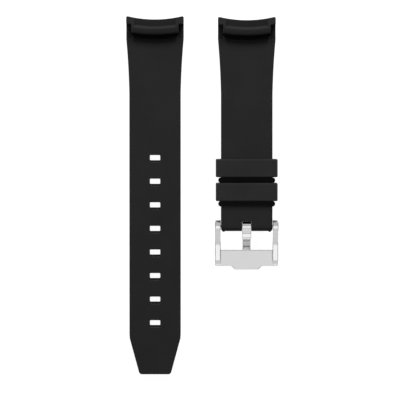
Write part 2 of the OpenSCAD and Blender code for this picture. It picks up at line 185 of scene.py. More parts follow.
def moulded_rubber(name, base, lighter, roughness):
    """Dark matt rubber: mottled tone, fine mould grain and a soft sheen."""
    material, tree, output = new_material(name)
    place = add_node(tree, "ShaderNodeTexCoord").outputs["Object"]
    cloud = add_node(tree, "ShaderNodeTexNoise",
                     values={"Scale": MOTTLES_PER_METRE, "Detail": 4.0, "Roughness": 0.55},
                     links={"Vector": place})
    tone = add_node(tree, "ShaderNodeMix", {"data_type": "RGBA"}, links={"Factor": cloud.outputs["Fac"]})
    tone.inputs[6].default_value = linear(base)
    tone.inputs[7].default_value = linear(lighter)
    grain = add_node(tree, "ShaderNodeTexNoise", values={"Scale": GRAINS_PER_METRE, "Detail": 2.0},
                     links={"Vector": place})
    bump = add_node(tree, "ShaderNodeBump", values={"Strength": 0.25, "Distance": GRAIN_DEPTH},
                    links={"Height": grain.outputs["Fac"]})
    rubber = add_node(tree, "ShaderNodeBsdfPrincipled",
                      values={"Roughness": roughness, "IOR": 1.5, "Specular IOR Level": 0.12,
                              "Sheen Weight": 0.03},
                      links={"Base Color": tone.outputs[2], "Normal": bump.outputs["Normal"]})
    tree.links.new(rubber.outputs[0], output.inputs["Surface"])
    return material


strap_rubber = moulded_rubber("moulded black rubber", "#171717", "#1e1e1e", 0.65)


# Lug ends of both halves
# Each half ends in a thick curved end that hugs the round case. A round ridge holds the spring bar
# between two tool notches, and two pads fill the corners. All of it is one pressing with the band.

LUG_W = 20.0
END_SAG = 1.25
END_R = (LUG_W ** 2 / 4 + END_SAG ** 2) / (2 * END_SAG)
LUG_T = 6.25
STEP_T, STEP_SLOPE = 5.45, 0.18
PAD_FALL = 0.7
FLOOR_T = 1.6
BAND_T = 3.2
BORE_BACK, BORE_Z, BORE_R = 3.1, 4.1, 0.9
RIDGE_FOOT, RIDGE_BACK, RIDGE_END = 2.3, 3.3, 5.2
RIDGE_FALL = 0.45
RIDGE_HALF = 8.2
PAD_INNER = 7.15
NOTCH_FRONT, NOTCH_BACK = 2.47, 7.37
HOLLOW_BACK, HOLLOW_SLOPE, HOLLOW_STRAIGHT = 5.4, 1.6, 0.25
SOFT = 0.3
STRAP_W = 17.9
LUG_STRAIGHT, FLARE_END, FLARE_DIP = 7.6, 27.0, 6.0
ARC_END, ROWS_STRAIGHT = 8.0, 14.0
SIDE_R = 0.45
FRONT_R = 0.3


def smooth(share):
    """From 0 to 1 with level ends: 3 s^2 - 2 s^3."""
    return share ** 2 * (3 - 2 * share)


def edge_drop(past, radius):
    """Drop of a rounded edge: none until a radius before the edge, then along a quarter circle."""
    into = np.clip(past + radius, 0, radius)
    return radius - np.sqrt(radius ** 2 - into ** 2)


def lug_height(x, behind):
    """Height of the inner face at a distance behind the hollow front.

    Three forms: the band, which rises out of the hollow and ends square at the notches; the step and
    the ridge, joined by a smooth S; and the pads, straight up to the crest. Behind the crest both fall
    along a parabola. Edges are quarter circles.
    """
    side = np.abs(x)
    rise = np.clip((behind - HOLLOW_BACK) / HOLLOW_SLOPE, 0, 1)
    hollow = FLOOR_T + (BAND_T - FLOOR_T) * (HOLLOW_STRAIGHT * rise + (1 - HOLLOW_STRAIGHT) * smooth(rise))
    notch = np.where(behind < NOTCH_BACK, FLOOR_T, BAND_T - edge_drop(NOTCH_BACK - behind, SOFT))
    band = np.where(side > RIDGE_HALF, notch, hollow)

    back = np.clip((behind - RIDGE_BACK) / (RIDGE_END - RIDGE_BACK), 0, None)
    crest = LUG_T - RIDGE_FALL * back ** 2 - edge_drop(behind - RIDGE_END, SOFT)
    crest = np.where(behind <= RIDGE_END, crest, 0)
    climb = np.clip((behind - RIDGE_FOOT) / (RIDGE_BACK - RIDGE_FOOT), 0, 1)
    step = STEP_T - STEP_SLOPE * behind
    ridge = step + (crest - step) * smooth(climb)
    pad = np.where(behind < RIDGE_BACK, LUG_T - PAD_FALL * (1 - behind / RIDGE_BACK), crest)
    inner_drop = edge_drop(PAD_INNER - side, SOFT)
    lug = np.where(side < PAD_INNER, ridge, np.maximum(pad - inner_drop, ridge))
    end_drop = np.where(behind > NOTCH_FRONT, edge_drop(side - RIDGE_HALF, SOFT), 0)
    corner = np.where(behind <= NOTCH_FRONT, pad - edge_drop(behind - NOTCH_FRONT, SOFT), 0)
    lug = np.where(side <= RIDGE_HALF, lug - end_drop, corner)
    return np.maximum(band, lug)


def flare_half_width(y):
    """Half width at a distance behind the corners: full, then along one large arc, then the strap's.

    The arc is narrowest FLARE_DIP past the flare's end, and passes through both ends of the flare.
    """
    low = FLARE_END + FLARE_DIP
    squares = (LUG_W ** 2 - STRAP_W ** 2) / 4 + (low - LUG_STRAIGHT) ** 2 - FLARE_DIP ** 2
    centre = squares / (LUG_W - STRAP_W)
    arc_r = np.hypot(centre - STRAP_W / 2, FLARE_DIP)
    arc = centre - np.sqrt(arc_r ** 2 - (low - np.clip(y, 0, FLARE_END)) ** 2)
    return np.clip(arc, STRAP_W / 2, LUG_W / 2)


# Rows of the grid behind the front and its columns across, close where the face turns
LUG_ROWS = np.array([
    FRONT_R, 0.34, 0.45, 0.7, 1.0, 1.4, 1.8, NOTCH_FRONT - SOFT, 2.27, RIDGE_FOOT, 2.37, 2.43, NOTCH_FRONT,
    2.49, 2.57, 2.65, 2.75, 2.85, 2.95, 3.05, 3.15, 3.25, 3.35, 3.5, 3.7, 3.9, 4.1, 4.3, 4.5, 4.7,
    RIDGE_END - SOFT, 5.0, 5.09, 5.15, 5.185, RIDGE_END, 5.22, 5.3, HOLLOW_BACK, 5.5, 5.65, 5.8, 6.0, 6.2,
    6.4, 6.6, 6.8, 6.9, HOLLOW_BACK + HOLLOW_SLOPE, 7.1, 7.2, NOTCH_BACK - 0.02, NOTCH_BACK + 0.01, 7.42,
    7.5, 7.6, NOTCH_BACK + SOFT, 7.9, 8.3, 9.0, 10.0, 11.0, 12.0, 13.0, ROWS_STRAIGHT])
LUG_COLUMNS = np.array([
    0, 1.2, 2.6, 3.9, 5.0, 6.0, 6.6, 6.9, 7.05, 7.14, PAD_INNER, 7.17, 7.22, 7.32, PAD_INNER + SOFT, 7.6,
    RIDGE_HALF - SOFT, 8.0, 8.1, 8.16, RIDGE_HALF, 8.22, 8.4, 8.7, 9.05, 9.3, 9.45]) / (LUG_W / 2 - SIDE_R)


def mirrored(values):
    """The values on both sides of zero, in order, with zero once."""
    values = np.unique(np.round(values, 6))
    positive = values[values > 0]
    return np.concatenate([-positive[::-1], [0.0], positive])


def band_grid(rows, columns, place_across):
    """Places of a grid on the band.

    Each row lies on an arc round the centre of the hollow front, at a distance behind it. Past
    ARC_END the arcs flatten until the rows are straight. Columns are shares of the sheet's half width,
    which a function of the distance from the corners and the share turns into places.
    """
    behind, share = np.meshgrid(rows, columns, indexing="ij")
    flatten = smooth(np.clip((behind - ARC_END) / (ROWS_STRAIGHT - ARC_END), 0, 1))
    x = place_across(behind + END_SAG * flatten, share)
    arc = END_R + behind - np.sqrt((END_R + behind) ** 2 - x ** 2)
    return x, -(behind + END_SAG) + arc * (1 - flatten), behind


# Long half
# The long half carries eight adjusting slots and a tapered tail. Each slot has a sloped wall on the
# side of the tip, where the tang enters.

LONG_LEN = 125.0
LONG_X, LONG_Y = -16.46, 62.5
TAIL_LEN = 12.9
TIP_W, TIP_R = 10.85, 1.1
SLOT_COUNT, SLOT_PITCH, SLOT_FIRST = 8, 8.23, 18.0
SLOT_W, SLOT_LEN, SLOT_SLOPE, SLOT_R = 3.6, 1.85, 0.75, 0.3
SLOT_EDGE_R = 0.08

# Columns as shares of a slot's half width, of which the last but one is its border, and of the band's
SLOT_COLUMNS, EDGE_COLUMNS = np.array([0.33, 0.66, 0.82, 0.93, 1.0, 1.12]), [0.99, 1.0]
SLOT_BORDER = -2

# Distances that keep the plain rows clear of the lug end, the slots and the tip
PLAIN_START, PLAIN_END, TAIL_START, TAIL_END = 15.5, 0.3, 0.6, 0.4

# Edges, walls and rims of every sheet and plate in this file
EDGE_STEPS = 4
MOST_ROUNDED = 0.45
WALL_BREAK = 0.35
FLAT_RING = 0.04
ROD_RIM = 0.05
BOTH_SIDES = 2.0
SHARP_ANGLE = np.radians(40.0)

# Slope of the tail's sides, and the circle at each tip corner, with a margin for rounding errors
SLANT = np.arctan((STRAP_W - TIP_W) / 2 / TAIL_LEN)
TIP_INNER_R = TIP_R - SIDE_R
TIP_CORNER_X = TIP_W / 2 + TIP_R * (np.tan(SLANT) - 1 / np.cos(SLANT))
MARGIN = 0.001


def walk(corners, columns):
    """Vertex numbers along the grid lines from corner to corner, closed, each given once."""
    parts = []
    for (row, column), (next_row, next_column) in zip(corners, corners[1:] + corners[:1]):
        count = max(abs(next_row - row), abs(next_column - column))
        line_rows = np.linspace(row, next_row, count + 1)[:-1].round().astype(int)
        line_columns = np.linspace(column, next_column, count + 1)[:-1].round().astype(int)
        parts.append(line_rows * columns + line_columns)
    return np.concatenate(parts)


def outward(points):
    """Unit normals to the right of a closed path in the plane."""
    step = np.roll(points, -1, axis=0) - points
    step /= np.linalg.norm(step, axis=1)[:, None]
    normal = np.stack([step[:, 1], -step[:, 0]], axis=1)
    both = normal + np.roll(normal, 1, axis=0)
    return both / np.linalg.norm(both, axis=1)[:, None]


def pressed_sheet(top, bottom, kept, loops, radii):
    """Vertices and faces of a thick sheet with rounded edges.

    Top and bottom are grids of places that share their cells. Along every loop of border vertices
    a wall closes the sheet: it leaves each face along a quarter circle, round points (sin a, cos a).
    The wall drops straight from the top to WALL_BREAK of its height, and from there meets the bottom.
    """
    rows, columns = kept.shape[0] + 1, kept.shape[1] + 1
    top = top.reshape(-1, 3)
    bottom = bottom.reshape(-1, 3)
    lower = len(top)
    number = np.arange(rows * columns).reshape(rows, columns)
    cells = np.stack([number[:-1, :-1], number[1:, :-1], number[1:, 1:], number[:-1, 1:]], axis=-1)[kept]
    places = [top, bottom]
    faces = [cells, cells[:, ::-1] + lower]
    count = 2 * lower
    turn = np.linspace(0, np.pi / 2, EDGE_STEPS + 1)[1:]
    for loop, radius in zip(loops, radii):
        thick = top[loop, 2] - bottom[loop, 2]
        radius = np.minimum(radius, MOST_ROUNDED * thick)[:, None]
        rings = [loop]
        for sheet, sign in ((top, -1), (bottom, 1)):
            normal = outward(sheet[loop, :2])
            angles = turn if sign < 0 else turn[::-1]
            for angle in angles:
                flat = sheet[loop, :2] + normal * radius * np.sin(angle)
                height = sheet[loop, 2:] + sign * radius * (1 - np.cos(angle))
                places.append(np.concatenate([flat, height], axis=1))
                rings.append(np.arange(count, count + len(loop)))
                count += len(loop)
            if sign < 0:
                height = bottom[loop, 2:] + WALL_BREAK * thick[:, None]
                places.append(np.concatenate([flat, height], axis=1))
                rings.append(np.arange(count, count + len(loop)))
                count += len(loop)
        rings.append(loop + lower)
        for first, second in zip(rings, rings[1:]):
            faces.append(np.stack([first, second, np.roll(second, -1), np.roll(first, -1)], axis=1))
    places = np.concatenate(places)
    faces = np.concatenate(faces)
    used = np.unique(faces)
    renumber = np.zeros(len(places), dtype=int)
    renumber[used] = np.arange(len(used))
    return places[used], renumber[faces]


def new_piece(name, places, faces, material, slot, body):
    """Object from places in millimetres, shaded smooth but for its sharp edges."""
    mesh = bpy.data.meshes.new(name)
    mesh.from_pydata((places * MM).tolist(), [], [list(face) for face in faces])
    mesh.polygons.foreach_set("use_smooth", np.ones(len(mesh.polygons), dtype=bool))
    mesh.set_sharp_from_angle(angle=SHARP_ANGLE)
    mesh.materials.append(material)
    piece = bpy.data.objects.new(name, mesh)
    bpy.context.collection.objects.link(piece)
    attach(piece, body)
    return piece


def rimmed_plate(outline, low, high, rim, axes=(0, 1, 2)):
    """Plate between two heights with rounded rims, whose two radii are in the face and down the side.

    Rings follow the outline, which runs counterclockwise, inset by the first radius times (1 - sin a)
    at the second times (1 - cos a) from each face, with one more ring past either end so that flats
    shade flat. Two faces close it. The axes say where outline and height go in X, Y and Z.
    """
    turn = np.linspace(0, np.pi / 2, EDGE_STEPS + 1)
    inset = np.concatenate([[rim[0] + FLAT_RING], rim[0] * (1 - np.sin(turn)), [0]])
    depth = np.concatenate([[0], rim[1] * (1 - np.cos(turn)), [rim[1] + FLAT_RING]])
    insets = np.concatenate([inset, inset[::-1]])
    heights = np.concatenate([low + depth, high - depth[::-1]])
    flat = outline - insets[:, None, None] * outward(outline)
    upright = np.broadcast_to(heights[:, None, None], (*flat.shape[:2], 1))
    places = np.concatenate([flat, upright], axis=2).reshape(-1, 3)[:, list(axes)]
    count = len(outline)
    number = np.arange(len(places)).reshape(-1, count)
    shifted = np.roll(number, -1, axis=1)
    sides = np.stack([number[:-1], shifted[:-1], shifted[1:], number[1:]], axis=-1).reshape(-1, 4)
    return places, sides.tolist() + [number[0, ::-1].tolist(), number[-1].tolist()]


def circle(middle, radius, sides=48):
    """Counterclockwise points of a circle."""
    turn = np.linspace(0, 2 * np.pi, sides, endpoint=False)
    return np.array(middle) + radius * np.stack([np.cos(turn), np.sin(turn)], axis=1)


def combine(piece, shape, operation):
    """Joins a closed shape to the piece, or cuts it out."""
    places, faces = shape
    mesh = bpy.data.meshes.new("tool")
    mesh.from_pydata((places * MM).tolist(), [], faces)
    tool = bpy.data.objects.new("tool", mesh)
    bpy.context.collection.objects.link(tool)
    step = piece.modifiers.new("step", "BOOLEAN")
    step.operation = operation
    step.solver = "EXACT"
    step.object = tool
    finished = bpy.data.meshes.new_from_object(piece.evaluated_get(bpy.context.evaluated_depsgraph_get()))
    piece.modifiers.clear()
    piece.data = finished
    bpy.data.objects.remove(tool)
    finished.polygons.foreach_set("use_smooth", np.ones(len(finished.polygons), dtype=bool))
    finished.set_sharp_from_angle(angle=SHARP_ANGLE)


def drill(piece, middle, radius, length):
    """Cuts a round hole along X into the piece."""
    x, y, z = middle
    rim = (ROD_RIM * radius, ROD_RIM * radius)
    rod = rimmed_plate(circle((y, z), radius), x - length / 2, x + length / 2, rim, (2, 0, 1))
    combine(piece, rod, "DIFFERENCE")


def across_long(y, share):
    """Places across the long half, inside its rounded edges: shares of a half width.

    The flare, the straight band, the straight slope of the tail, and a circle at each tip corner.
    """
    from_tip = LONG_LEN - y
    sloped = STRAP_W / 2 - (TAIL_LEN - from_tip) * np.tan(SLANT) - SIDE_R / np.cos(SLANT)
    corner = TIP_CORNER_X + np.sqrt(np.clip(TIP_INNER_R ** 2 - (TIP_R - from_tip) ** 2, 0, None))
    tail = np.where(from_tip < TIP_R - TIP_INNER_R * np.sin(SLANT) + MARGIN, corner, sloped)
    return share * np.minimum(flare_half_width(y) - SIDE_R, tail)


def round_corners(points, centre, half, radius):
    """Border points of a rectangle, moved to its rounded outline.

    The nearest point of the rectangle that is smaller by the radius, and from there out by the radius.
    """
    inner = np.clip(points - centre, radius - half, half - radius)
    out = points - centre - inner
    return centre + inner + out / np.linalg.norm(out, axis=1)[:, None] * radius


slot_share = np.array([0.0, 0.06, 0.14, 0.26, 0.5, 0.74, 0.86, 0.94, 1.0])
slot_half = np.array([SLOT_W / 2 + SLOT_EDGE_R, 0.0])
slot_start = LONG_LEN - SLOT_FIRST - SLOT_PITCH * np.arange(SLOT_COUNT)[::-1] - SLOT_LEN / 2 - SLOT_EDGE_R
face_slot = SLOT_LEN + SLOT_SLOPE + 2 * SLOT_EDGE_R
back_slot = SLOT_LEN + 2 * SLOT_EDGE_R
bridge = face_slot + (SLOT_PITCH - face_slot) * np.array([0.05, 0.35, 0.65, 0.95])
slope_end = slot_start[-1] + bridge[-1]
tip_turn = np.linspace(SLANT, np.pi / 2, 6)
tip_rows = LONG_LEN - TIP_R + TIP_INNER_R * np.sin(tip_turn)
middle_rows = np.linspace(PLAIN_START, slot_start[0] - PLAIN_END, 32)
tail_rows = np.linspace(slope_end + TAIL_START, tip_rows[0] - TAIL_END, 12)


def long_rows(slot_length):
    """Distances behind the front of every row, for a face whose slots have the length given."""
    slots = slot_start[:, None] + np.concatenate([slot_share * slot_length, bridge])
    from_corners = np.concatenate([middle_rows, slots.ravel(), tail_rows, tip_rows])
    return np.concatenate([LUG_ROWS, from_corners - END_SAG])


slot_columns = SLOT_COLUMNS * slot_half[0] / (STRAP_W / 2 - SIDE_R)
columns = mirrored(np.concatenate([LUG_COLUMNS, slot_columns, EDGE_COLUMNS]))
face_x, face_y, behind = band_grid(long_rows(face_slot), columns, across_long)
back_x, back_y, _ = band_grid(long_rows(back_slot), columns, across_long)
face_z = np.where(behind < LUG_ROWS[-1], lug_height(face_x, behind), BAND_T)
face = np.stack([face_x, face_y, face_z], axis=-1)
back = np.stack([back_x, back_y, 0 * back_x], axis=-1)

last_row, last_column = face.shape[0] - 1, face.shape[1] - 1
kept = np.ones((last_row, last_column), dtype=bool)
loops = [walk([(0, 0), (last_row, 0), (last_row, last_column), (0, last_column)], last_column + 1)]
radii = [np.where(loops[0] <= last_column, FRONT_R, SIDE_R)]
first = int(np.argmin(abs(columns + slot_columns[SLOT_BORDER])))
last = int(np.argmin(abs(columns - slot_columns[SLOT_BORDER])))
for index, start in enumerate(slot_start):
    row = len(LUG_ROWS) + len(middle_rows) + index * (len(slot_share) + len(bridge))
    end_row = row + len(slot_share) - 1
    kept[row:end_row, first:last] = False
    loop = walk([(row, first), (row, last), (end_row, last), (end_row, first)], last_column + 1)
    for sheet, length in ((face, face_slot), (back, back_slot)):
        flat = sheet.reshape(-1, 3)
        flat[loop, :2] = round_corners(flat[loop, :2], np.array([0, -start - length / 2]),
                                       slot_half + np.array([0, length / 2]), SLOT_R + SLOT_EDGE_R)
    loops.append(loop)
    radii.append(np.full(len(loop), SLOT_EDGE_R))
places, faces = pressed_sheet(face, back, kept, loops, radii)
long_half = new_piece("long_half_rubber", places + np.array([LONG_X, LONG_Y, 0]), faces,
                      strap_rubber, "strap_rubber", "long_half")
drill(long_half, (LONG_X, LONG_Y - END_SAG - BORE_BACK, BORE_Z), BORE_R, LUG_W + BOTH_SIDES)
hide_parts("long_strap")


# Short half
# The short half is pressed in the same way. Its end is rolled round the buckle's bar, with a slot for
# the tang, and four nubs on its edges hold the fixed keeper.

SHORT_LEN = 74.5
SHORT_X, SHORT_Y, SHORT_Z = 15.44, 62.2, 5.0
ROLL_R = BAND_T / 2
END_CORNER_R = 1.1
TANG_SLOT_W, TANG_SLOT_BACK, TANG_SLOT_R, OPEN_SLOT_LEN = 3.22, 1.67, 0.12, 8.0
BAR_BORE_R = 0.8
NUB_R, NUB_INSET, NUB_RIM = 0.95, 0.6, (0.25, 0.25)
NUB_PLAY = 0.05
KEEPER_LEN = 6.2
KEEPER_FROM_BAR = 12.0
bar_from_front = SHORT_LEN - ROLL_R


def across_short(y, share):
    """Places across the short half: shares of the flare's and the band's half width.

    The circles at the end corners pull in only the outer columns, by the fifth power of their share.
    """
    past = np.clip(y - SHORT_LEN + END_CORNER_R, 0, END_CORNER_R)
    corner_loss = END_CORNER_R - np.sqrt(END_CORNER_R ** 2 - past ** 2)
    return share * (flare_half_width(y) - SIDE_R) - corner_loss * share ** 5


slot_edge = np.array([0.0, 0.12, 0.3, 0.55, 0.9])
roll_turn = np.radians(np.array([0, 10, 20, 30, 40, 50, 58, 66, 73, 79, 84]))
tang_slot_start = bar_from_front - TANG_SLOT_BACK - SLOT_EDGE_R
roll_rows = bar_from_front + ROLL_R * np.sin(roll_turn)
middle_rows = np.linspace(PLAIN_START, tang_slot_start - PLAIN_END, 44)
from_corners = np.concatenate([middle_rows, tang_slot_start + slot_edge, roll_rows])
rows = np.concatenate([LUG_ROWS, from_corners - END_SAG])
slot_columns = SLOT_COLUMNS * (TANG_SLOT_W / 2 + SLOT_EDGE_R) / (STRAP_W / 2 - SIDE_R)
columns = mirrored(np.concatenate([LUG_COLUMNS, slot_columns, EDGE_COLUMNS]))
face_x, face_y, behind = band_grid(rows, columns, across_short)
face_z = np.where(behind < LUG_ROWS[-1], lug_height(face_x, behind), BAND_T)
roll_half = np.sqrt(ROLL_R ** 2 - np.clip(-face_y - bar_from_front, 0, ROLL_R) ** 2)
face_z = np.where(-face_y < bar_from_front, face_z, np.minimum(face_z, ROLL_R + roll_half))
face = np.stack([face_x, face_y, face_z], axis=-1)
back = np.stack([face_x, face_y, ROLL_R - roll_half], axis=-1)

last_row, last_column = face.shape[0] - 1, face.shape[1] - 1
first = int(np.argmin(abs(columns + slot_columns[SLOT_BORDER])))
last = int(np.argmin(abs(columns - slot_columns[SLOT_BORDER])))
row = len(rows) - len(roll_turn) - len(slot_edge)
kept = np.ones((last_row, last_column), dtype=bool)
kept[row:, first:last] = False
loop = walk([(0, 0), (last_row, 0), (last_row, first), (row, first), (row, last), (last_row, last),
             (last_row, last_column), (0, last_column)], last_column + 1)
loop_row, loop_column = np.divmod(loop, last_column + 1)
in_slot = (loop_row >= row) & (loop_column >= first) & (loop_column <= last)
radius = np.where(in_slot, SLOT_EDGE_R, SIDE_R)
radius = np.where(loop_row == 0, FRONT_R, radius)
radius = np.where(loop_row == last_row, ROLL_R * (1 - np.sin(roll_turn[-1])), radius)
slot_loop = loop[in_slot]
slot_middle = np.array([0, -tang_slot_start - OPEN_SLOT_LEN / 2])
slot_half = np.array([TANG_SLOT_W / 2 + SLOT_EDGE_R, OPEN_SLOT_LEN / 2])
slot_corner_r = TANG_SLOT_R + SLOT_EDGE_R
for sheet in (face, back):
    flat = sheet.reshape(-1, 3)
    flat[slot_loop, :2] = round_corners(flat[slot_loop, :2], slot_middle, slot_half, slot_corner_r)
places, faces = pressed_sheet(face, back, kept, [loop], [radius])
short_half = new_piece("short_half_rubber", places + np.array([SHORT_X, SHORT_Y, SHORT_Z]), faces,
                       strap_rubber, "strap_rubber", "short_half")
drill(short_half, (SHORT_X, SHORT_Y - END_SAG - BORE_BACK, SHORT_Z + BORE_Z), BORE_R, LUG_W + BOTH_SIDES)
drill(short_half, (SHORT_X, SHORT_Y - bar_from_front, SHORT_Z + ROLL_R), BAR_BORE_R, LUG_W + BOTH_SIDES)
keeper_y = SHORT_Y - bar_from_front + KEEPER_FROM_BAR
nub_offset = KEEPER_LEN / 2 + NUB_PLAY + NUB_R
for side in (-1, 1):
    for end in (-1, 1):
        nub = circle((SHORT_X + side * STRAP_W / 2, keeper_y + end * nub_offset), NUB_R, 32)
        nub = rimmed_plate(nub, SHORT_Z + NUB_INSET, SHORT_Z + BAND_T - NUB_INSET, NUB_RIM)
        combine(short_half, nub, "UNION")
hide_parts("short_strap")


# Keepers
# Two flat-sided rubber loops that hold the tail. The fixed one sits between the nubs, and the free
# one slides. Each is pressed from the same rubber, a little glossier, with rounded rims.

KEEPER_H = 9.85
KEEPER_T, KEEPER_SIDE_T = 1.4, 1.45
KEEPER_GAP, KEEPER_SPACE = 0.35, 2.1
KEEPER_R, KEEPER_INNER_R = 1.6, 0.5
KEEPER_RIM = 0.35
CORNER_STEPS = 6
SIDE_SHARES = np.array([0.02, 0.5, 0.98])


def rounded_path(size, radii):
    """Points round a rectangle: an elliptic quarter at each corner, and three points on each side."""
    radii = np.array(radii)
    turn = np.linspace(0, np.pi / 2, CORNER_STEPS + 1) + np.arange(4)[:, None] * np.pi / 2
    middles = np.array([[1, 1], [-1, 1], [-1, -1], [1, -1]]) * (np.array(size) / 2 - radii)
    arcs = middles[:, None] + radii * np.stack([np.cos(turn), np.sin(turn)], axis=-1)
    start, end = arcs[:, -1:], np.roll(arcs, -1, axis=0)[:, :1]
    sides = start + (end - start) * SIDE_SHARES[:, None]
    return np.concatenate([arcs, sides], axis=1).reshape(-1, 2)


def ring_faces(around, section):
    """Faces of a grid that closes both ways."""
    number = np.arange(around * section).reshape(around, section)
    ahead = np.roll(number, -1, axis=0)
    cells = np.stack([number, ahead, np.roll(ahead, -1, axis=1), np.roll(number, -1, axis=1)], axis=-1)
    return cells.reshape(-1, 4)


def keeper_loop(y):
    """A keeper: its section, a rectangle with round corners, is carried round between two paths.

    A place is the inner path plus a share of the way to the outer one, and a distance along Y.
    """
    inner_size = (STRAP_W + 2 * KEEPER_GAP, KEEPER_H - 2 * KEEPER_T)
    outer_size = (STRAP_W + 2 * (KEEPER_GAP + KEEPER_SIDE_T), KEEPER_H)
    inner = rounded_path(inner_size, (KEEPER_INNER_R, KEEPER_INNER_R))
    outer = rounded_path(outer_size, (KEEPER_R, KEEPER_R))
    section = rounded_path((KEEPER_LEN, 1.0), (KEEPER_RIM, KEEPER_RIM / KEEPER_T))
    share = section[:, 1:] + 0.5
    flat = inner[:, None] + (outer - inner)[:, None] * share
    along = np.broadcast_to(section[:, :1], (len(inner), len(section), 1))
    places = np.concatenate([flat[..., :1], along, flat[..., 1:]], axis=2).reshape(-1, 3)
    return places + np.array([SHORT_X, y, KEEPER_H / 2]), ring_faces(len(inner), len(section))


keeper_rubber = moulded_rubber("moulded keeper rubber", "#1a1a1a", "#222222", 0.62)
for name, node, body, y in (("fixed_keeper_loop", "fixed_keeper", "short_half", keeper_y),
                            ("free_keeper_loop", "free_keeper", "sliding_keeper",
                             keeper_y + KEEPER_LEN + KEEPER_SPACE)):
    places, faces = keeper_loop(y)
    keeper = new_piece(name, places, faces, keeper_rubber, "keeper_rubber", body)
    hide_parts(node)


# Buckle frame
# Stainless steel: two arms with round ears that hold the bar, and between them a flat plate with a tab.
# It is pressed from thick sheet, brushed lengthwise and tumbled, and the upper faces of its arms are
# polished. Real brushing is finer than 0.03 mm and is drawn in lines 0.1 mm wide so that it shows.

BAR_Y, BAR_Z = SHORT_Y - bar_from_front, SHORT_Z + ROLL_R
ARM_GAP, ARM_T = 0.12, 1.95
EAR_R, EAR_HOLE_R, EAR_HOLE_DEPTH = 2.3, 0.43, 1.25
PLATE_BACK, PLATE_LEN, PLATE_T = 8.4, 5.6, 1.7
RAIL_T, RAIL_BACK = 4.2, 6.1
NOSE_RUN, NOSE_FALL, NOSE_SETBACK = 1.5, 1.15, 0.6
TAB_W, TAB_END_W, TAB_LEN = 10.6, 8.0, 1.25
GROOVE_W, GROOVE_T = 3.45, 0.95
ARM_RIM, PLATE_RIM, GROOVE_RIM = (0.1, 0.22), (0.25, 0.12), (0.1, 0.1)
PLATE_CORNER_R, TAB_CORNER_R = 0.6, 0.5
ARM_BEND_R, NOSE_R, TOE_R, JOIN_R = 3.0, 0.5, 0.4, 0.01
FOOT_LEAD = 1.0
GROOVE_REACH = 20.0
EAR_POINTS = 40
POLISHED_ABOVE = 0.6
BRUSHED_LINES_PER_METRE, BRUSHED_LENGTHS_PER_METRE = 9000.0, 120.0
BRUSHED_DEPTH = 0.02 * MM


def steel(name, colour, roughness, brushed):
    """Stainless steel with fine brushing along the strap, or polished where brushed is 0."""
    material, tree, output = new_material(name)
    place = add_node(tree, "ShaderNodeTexCoord").outputs["Object"]
    scale = (BRUSHED_LINES_PER_METRE, BRUSHED_LENGTHS_PER_METRE, BRUSHED_LINES_PER_METRE)
    stretch = add_node(tree, "ShaderNodeMapping", values={"Scale": scale}, links={"Vector": place})
    lines = add_node(tree, "ShaderNodeTexNoise", values={"Scale": 1.0, "Detail": 3.0},
                     links={"Vector": stretch.outputs["Vector"]})
    bump = add_node(tree, "ShaderNodeBump", values={"Strength": brushed, "Distance": BRUSHED_DEPTH},
                    links={"Height": lines.outputs["Fac"]})
    metal = add_node(tree, "ShaderNodeBsdfPrincipled",
                     values={"Base Color": linear(colour), "Metallic": 1.0, "Roughness": roughness},
                     links={"Normal": bump.outputs["Normal"]})
    tree.links.new(metal.outputs[0], output.inputs["Surface"])
    return material


def filleted(points, radii):
    """Closed outline whose corners are arcs that touch both sides at r / tan(half the angle)."""
    points = np.array(points, dtype=float)
    radii = np.array(radii, dtype=float)[:, None]
    back = np.roll(points, 1, axis=0) - points
    ahead = np.roll(points, -1, axis=0) - points
    back /= np.linalg.norm(back, axis=1)[:, None]
    ahead /= np.linalg.norm(ahead, axis=1)[:, None]
    half = np.arccos(np.sum(back * ahead, axis=1))[:, None] / 2
    between = back + ahead
    middle = points + between / np.linalg.norm(between, axis=1)[:, None] * radii / np.sin(half)
    first = points + back * radii / np.tan(half) - middle
    last = points + ahead * radii / np.tan(half) - middle
    start = np.arctan2(first[:, 1], first[:, 0])
    sweep = (np.arctan2(last[:, 1], last[:, 0]) - start + np.pi) % (2 * np.pi) - np.pi
    turn = start[:, None] + sweep[:, None] * np.linspace(0, 1, CORNER_STEPS + 1)
    arcs = radii[:, None] * np.stack([np.cos(turn), np.sin(turn)], axis=-1)
    return (middle[:, None] + arcs).reshape(-1, 2)


def between_joins(outline):
    """The outline without its first and last corner, where it joins an arc."""
    return outline[CORNER_STEPS + 1:-CORNER_STEPS - 1]


def tangent_angle(point, radius, side):
    """Angle on a circle round the origin where a line from a point touches it."""
    return np.arctan2(point[1], point[0]) + side * np.arccos(radius / np.hypot(*point))


# The brushed faces shine softly and evenly, and the polished ones mirror the room in light and dark
brushed_steel = steel("brushed stainless steel", "#eeeeee", 0.3, 0.3)
polished_steel = steel("polished stainless steel", "#f0f0f0", 0.2, 0.0)

